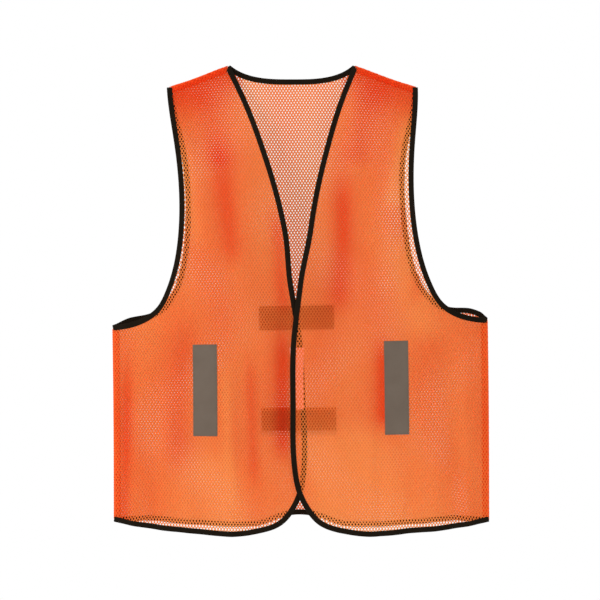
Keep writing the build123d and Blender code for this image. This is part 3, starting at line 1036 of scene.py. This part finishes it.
def stitch_row(name, centres, ways, ups, material):
    """Copies of the stitch at places, each along a direction and facing another."""
    sides = unit(np.cross(ups, ways))
    points = []
    faces = []
    for n in range(len(centres)):
        turned = np.outer(stitch_points[:, 0], ways[n])
        turned += np.outer(stitch_points[:, 1], sides[n]) + np.outer(stitch_points[:, 2], ups[n])
        faces += [tuple(i + len(points) * len(stitch_points) for i in face) for face in stitch_faces]
        points.append(turned + centres[n])
    return mesh_object(name, np.concatenate(points), faces, material)


STITCH_RISE = 0.56


def tape_stitches(name, path, rows):
    """Stitches on both sides of a folded tape."""
    parts = [part[rows] for part in path[:4]]
    run = run_of(parts[0])
    marks = np.arange(STITCH_PITCH / 2, run[-1], STITCH_PITCH)
    spots, ins, outs, ways = (at_marks(marks, run, part) for part in parts)
    ways = unit(ways)
    outs = unit(outs)
    seam = spots + ins * STITCH_IN
    spots = np.concatenate([seam + outs * STITCH_RISE * MM, seam - outs * STITCH_RISE * MM])
    print(name, "stitches", 2 * len(marks))
    turned = np.concatenate([outs, -outs])
    return stitch_row(name, spots, np.concatenate([ways, ways]), turned, THREAD_BLACK)


threads = {}
for node, (name, path, rows) in BINDINGS.items():
    threads[node] = tape_stitches(name + "_stitches", path, rows)

# %% [markdown]
# ## Reflective strips and tapes
# A reflective strip is a coated cloth laid on the netting and sewn down round its
# edge. It starts as a grid the size of the strip, is laid on the hanging cloth point
# by point, given a thickness with Solidify, and its rim is rounded with Bevel.

# %% Laying flat pieces on the cloth
GRID = 2.5 * MM
RIM_SHARE = 0.3
PUCKER = 0.12 * MM


def outer_side(cloth, lift):
    """Which way along Y a piece on a cloth faces: outwards, or inwards if under it."""
    return (1 if cloth == "back" else -1) * (-1 if lift < 0 else 1)


def flat_piece(name, cloth, corners, lift, thick, material, follow=None):
    """A rectangle of cloth laid on one of the cloths, given a thickness."""
    low_x, high_x, low_z, high_z = corners
    clear_selection()
    across = max(int((high_x - low_x) / GRID), 3)
    down = max(int((high_z - low_z) / GRID), 3)
    bpy.ops.mesh.primitive_grid_add(x_subdivisions=across, y_subdivisions=down, size=1)
    piece = bpy.context.active_object
    piece.name = name
    flat = coords(piece)
    x = low_x + (flat[:, 0] + 0.5) * (high_x - low_x)
    z = low_z + (flat[:, 1] + 0.5) * (high_z - low_z)
    if follow is not None:
        x = x + follow(z)
    pucker = PUCKER * np.sin(x / (4.1 * MM)) * np.sin(z / (6.3 * MM) + 1)
    set_coords(piece, askew(hang(cloth, x, z, lift + pucker)))
    mode("EDIT")
    bpy.ops.mesh.select_all(action="SELECT")
    bpy.ops.mesh.normals_make_consistent(inside=False)
    mode("OBJECT")
    if piece.data.polygons[0].normal.y * outer_side(cloth, lift) < 0:
        mode("EDIT")
        bpy.ops.mesh.flip_normals()
        mode("OBJECT")
    body = piece.modifiers.new("thickness", "SOLIDIFY")
    body.thickness = thick
    body.offset = 1
    rim = piece.modifiers.new("rim", "BEVEL")
    rim.width = thick * RIM_SHARE
    rim.segments = 2
    rim.limit_method = "ANGLE"
    apply_all(piece)
    piece.data.materials.append(material)
    smooth_shade(piece)
    return piece


def stitched_border(name, cloth, corners, inset, lift, material, follow=None):
    """A rectangle of stitches just inside a piece's edge."""
    low_x, high_x, low_z, high_z = corners
    a, b, c, d = low_x + inset, high_x - inset, low_z + inset, high_z - inset
    loop = even_line(np.array([(a, c), (b, c), (b, d), (a, d), (a, c)]), STITCH_PITCH)
    middle = (loop[:-1] + loop[1:]) / 2
    if follow is not None:
        middle[:, 0] += follow(middle[:, 1])
    ahead = middle + unit(np.diff(loop, axis=0)) * MM
    spots = askew(hang(cloth, *middle.T, lift))
    ways = unit(askew(hang(cloth, *ahead.T, lift)) - spots)
    ups = np.tile([0.0, outer_side(cloth, lift), 0.0], (len(spots), 1))
    return stitch_row(name, spots, ways, ups, material)


# %% The four reflective strips
STRIP_THICK = 0.45 * MM
NET_TOP = 0.35 * MM
STRIP_STITCH_IN = 1.8 * MM
STRIPS = {
    "left_front": "left", "right_front": "right", "upper_back": "back", "lower_back": "back",
}
strip_pieces = {}
for where, cloth in STRIPS.items():
    low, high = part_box(where + "_reflective_strip")
    corners = (low[0], high[0], low[2], high[2])
    strip = flat_piece(where + "_strip", cloth, corners, NET_TOP, STRIP_THICK, STRIP_GREY)
    top = NET_TOP + STRIP_THICK
    name = where + "_strip_stitches"
    thread = stitched_border(name, cloth, corners, STRIP_STITCH_IN, top, THREAD_GREY)
    strip_pieces[where] = (strip, thread)
    print(where, "strip mm", round((high[0] - low[0]) / MM, 1), round((high[2] - low[2]) / MM, 1))

# %% The closing tapes
TAPE_WIDE = 12.7 * MM
TAPE_UNDER = 1.1 * MM
TAPE_THICK = 0.6 * MM
TAPE_STITCH_IN = 1.5 * MM
ABOVE_CORNER = 60 * MM
hook_low, hook_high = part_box("closure_hook_tape")


def left_edge_at(z):
    """Left front edge's x at heights above the rounded corner, for the hook tape."""
    beside = front_edge[np.argsort(front_edge[:, 1])]
    beside = beside[beside[:, 1] > -LENGTH + ABOVE_CORNER]
    return np.interp(z, beside[:, 1], beside[:, 0])


def right_edge_at(z):
    """The same for the loop tape, on the other front."""
    return -left_edge_at(z)


def tape_border(kind, cloth, corners, lift, follow):
    """The stitched border of a closing tape."""
    name = kind + "_tape_stitches"
    return stitched_border(name, cloth, corners, TAPE_STITCH_IN, lift, THREAD_ORANGE, follow)


near = BINDING * TAPE_SHARE - TAPE_UNDER
hook_corners = (near, near + TAPE_WIDE, hook_low[2], hook_high[2])
loop_corners = (-near - TAPE_WIDE, -near, hook_low[2], hook_high[2])
hook_tape = flat_piece(
    "hook_tape", "left", hook_corners, -NET_TOP, TAPE_THICK, HOOK_SALMON, left_edge_at
)
loop_tape = flat_piece(
    "loop_tape", "right", loop_corners, NET_TOP, TAPE_THICK, LOOP_SALMON, right_edge_at
)
hook_thread = tape_border("hook", "left", hook_corners, -NET_TOP - TAPE_THICK, left_edge_at)
loop_thread = tape_border("loop", "right", loop_corners, NET_TOP + TAPE_THICK, right_edge_at)

# %% [markdown]
# ## Seams
# At the shoulders and sides the cloths are sewn face to face, and their raw edges are
# turned inside as an allowance, wrapped by overlock thread. Each allowance is a narrow
# strip inside the seam, and the overlock is a coil of thread round its free edge.

# %% Allowances
ALLOWANCE = 10 * MM
SEAM_ENDS = {"neck": 5 * MM, "arm": 6 * MM}
SEAM_ROWS = 4
SEAM_GAP = 0.4 * MM
SEAM_WAVE = 0.5 * MM
SEAM_THICK = 0.9 * MM


def seam_line(kind, side):
    """Flat points along a seam."""
    if kind == "shoulder":
        x = np.linspace(NECK_HALF + SEAM_ENDS["neck"], SHOULDER_HALF - SEAM_ENDS["arm"], 60)
        return np.stack([side * x, shoulder_line(x)], axis=1)
    z = np.linspace(UNDERARM - SEAM_ENDS["arm"], SIDE_HEM + SEAM_ENDS["arm"], 160)
    return np.stack([np.full(len(z), side * HALF_WIDTH), z], axis=1)


def allowance(name, kind, side):
    """Turned-in strip of netting along a seam, waving a little, and its overlock."""
    line = seam_line(kind, side)
    turn = np.array([0.0, -1.0]) if kind == "shoulder" else np.array([-side, 0.0])
    run = np.arange(len(line))
    rows = []
    for k in range(SEAM_ROWS + 1):
        flat = line + turn * (SEAM_GAP + ALLOWANCE * k / SEAM_ROWS)
        y = np.sin(run * 0.31 + k * 0.2) * SEAM_WAVE * k / SEAM_ROWS
        rows.append(askew(np.stack([flat[:, 0], y, flat[:, 1]], axis=1)))
    points = np.stack(rows, axis=1)
    faces = grid_faces(len(line), SEAM_ROWS + 1)
    strip = mesh_object(name, points.reshape(-1, 3), faces, SEAM_ORANGE)
    thicken = strip.modifiers.new("thickness", "SOLIDIFY")
    thicken.thickness = SEAM_THICK
    thicken.offset = 0
    pick(strip)
    apply_all(strip)
    coil = overlock(name + "_overlock", points[:, -1], points[:, 0] - points[:, -1])
    return strip, coil


COIL_PITCH = 2.6 * MM
COIL_SIDES = 5
COIL_THICK = 0.34 * MM
COIL_WIDE = 1.8 * MM
COIL_OUT = 0.5 * MM
COIL_HIGH = 0.85 * MM
COIL_STEPS = 10
COIL_GUIDE = (0.31, 0.9, 0.2)


def overlock(name, edge, back):
    """A flattened coil of thread round an edge."""
    run = run_of(edge)
    marks = np.linspace(0, run[-1], int(run[-1] / COIL_PITCH * COIL_STEPS))
    deep = at_marks(marks, run, unit(back))
    angle = marks / COIL_PITCH * 2 * math.pi
    path = at_marks(marks, run, edge) + deep * ((1 - np.cos(angle)) * COIL_WIDE - COIL_OUT)[:, None]
    path[:, 1] += np.sin(angle) * COIL_HIGH
    return thread_tube(name, path)


def thread_tube(name, path):
    """A thin tube of thread along a path, closed at its ends."""
    ahead = unit(np.gradient(path, axis=0))
    first = unit(np.cross(ahead, COIL_GUIDE))
    second = np.cross(ahead, first)
    rings = []
    for k in range(COIL_SIDES):
        turn = 2 * math.pi * k / COIL_SIDES
        ring = first * math.cos(turn) + second * math.sin(turn)
        rings.append(path + ring * (COIL_THICK / 2))
    points = np.stack(rings, axis=1).reshape(-1, 3)
    faces = []
    for i in range(0, len(points) - COIL_SIDES, COIL_SIDES):
        for k in range(COIL_SIDES):
            n = (k + 1) % COIL_SIDES
            faces.append((i + k, i + n, i + COIL_SIDES + n, i + COIL_SIDES + k))
    faces.append(tuple(range(COIL_SIDES))[::-1])
    faces.append(tuple(range(len(points) - COIL_SIDES, len(points))))
    return mesh_object(name, points, faces, SEAM_ORANGE)


seam_pieces = {}
for kind in ("shoulder", "side"):
    for word, side in (("left", 1), ("right", -1)):
        seam_pieces[word + "_" + kind] = allowance(word + "_" + kind + "_allowance", kind, side)
        print(word, kind, "seam done")

# %% [markdown]
# ## What moves with what
# Each front is one piece of netting, hung with a slight parting at the line it folds about. Its
# netting, edge binding and stitches keep the places they were built in, the hook and loop tapes ride
# on the fronts, and everything else rides on one body.

# %% Riding
body = "vest_body"


def bend(piece, front, side):
    """Bakes the piece's placement into its points."""
    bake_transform(piece)


for word, net, side in (("left", left_net, 1), ("right", right_net, -1)):
    edge = word + "_front_edge_binding"
    for piece in (net, tapes[edge], threads[edge]):
        bend(piece, word + "_front", side)
for piece in (hook_tape, hook_thread):
    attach(piece, "left_front")
for piece in (loop_tape, loop_thread):
    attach(piece, "right_front")
still = [back_net]
for node in BINDINGS:
    if "front" not in node:
        still += [tapes[node], threads[node]]
still += [piece for pair in strip_pieces.values() for piece in pair]
still += [piece for pair in seam_pieces.values() for piece in pair]
for piece in still:
    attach(piece, body)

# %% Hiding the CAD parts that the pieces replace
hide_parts("back_panel")
for word, net in (("left", left_net), ("right", right_net)):
    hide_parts(word + "_front_side_panel", word + "_front_flap_panel")
for node in BINDINGS:
    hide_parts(node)
for where, (strip, thread) in strip_pieces.items():
    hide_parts(where + "_reflective_strip")
    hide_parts(where + "_strip_stitching")
for kind, tape, thread in (("hook", hook_tape, hook_thread), ("loop", loop_tape, loop_thread)):
    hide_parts("closure_" + kind + "_tape")
    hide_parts(kind + "_tape_stitching")
for where, (strip, coil) in seam_pieces.items():
    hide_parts(where + "_seam")


for where, (strip, thread) in strip_pieces.items():
    low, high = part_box(where + "_reflective_strip")

# %% [markdown]
# ## Stage
# A pale floor, an even white surround and two soft lamps in front, so that the netting
# shows its own colour and the layers behind it. The camera looks straight at the front
# through a long lens.

# %% Floor, light and camera
FLOOR_SIZE = 3
FLOOR_PLACE = (0, 0.3, -1.15)
FLOOR_GLOW = 0.14
clear_selection()
bpy.ops.mesh.primitive_plane_add(size=FLOOR_SIZE, location=FLOOR_PLACE)
floor = bpy.context.active_object
floor.name = "floor"
floor_white = bpy.data.materials.new("floor white")
floor_white.use_nodes = True
floor_shader = floor_white.node_tree.nodes["Principled BSDF"]
set_inputs(floor_shader, {"Base Color": (0.95, 0.95, 0.95, 1), "Roughness": 0.9})
set_inputs(floor_shader, {"Emission Color": (1, 1, 1, 1), "Emission Strength": FLOOR_GLOW})
floor.data.materials.append(floor_white)

WORLD_LIGHT = 0.84
world = bpy.data.worlds.new("studio")
bpy.context.scene.world = world
world.use_nodes = True
ground = world.node_tree.nodes["Background"]
set_inputs(ground, {"Color": (1, 1, 1, 1)})
ray = world.node_tree.nodes.new("ShaderNodeLightPath")
level = world.node_tree.nodes.new("ShaderNodeMapRange")
set_inputs(level, {"To Min": WORLD_LIGHT, "To Max": 1.0})
world.node_tree.links.new(ray.outputs["Is Camera Ray"], level.inputs["Value"])
world.node_tree.links.new(level.outputs["Result"], ground.inputs["Strength"])


def lamp(name, place, target, size, power):
    """A soft square lamp aimed at a point."""
    data = bpy.data.lights.new(name, "AREA")
    data.size = size
    data.energy = power
    obj = bpy.data.objects.new(name, data)
    obj.location = place
    obj.rotation_euler = (Vector(target) - Vector(place)).to_track_quat("-Z", "Y").to_euler()
    bpy.context.collection.objects.link(obj)


CENTRE = (VIEW_X, 0, VIEW_Z)
lamp("key", (-1.9, -1.6, 0.9), CENTRE, 0.9, 26)
lamp("fill", (1.6, -2.4, 0.4), CENTRE, 1.8, 8)

LENS = 100
SENSOR = 36
camera_data = bpy.data.cameras.new("camera")
camera_data.lens = LENS
camera_data.sensor_width = SENSOR
camera = bpy.data.objects.new("camera", camera_data)
camera.location = (VIEW_X, -VIEW_FAR, VIEW_Z)
camera.rotation_euler = (math.pi / 2, 0, 0)
bpy.context.collection.objects.link(camera)
bpy.context.scene.camera = camera
bpy.context.scene.view_settings.view_transform = "Standard"
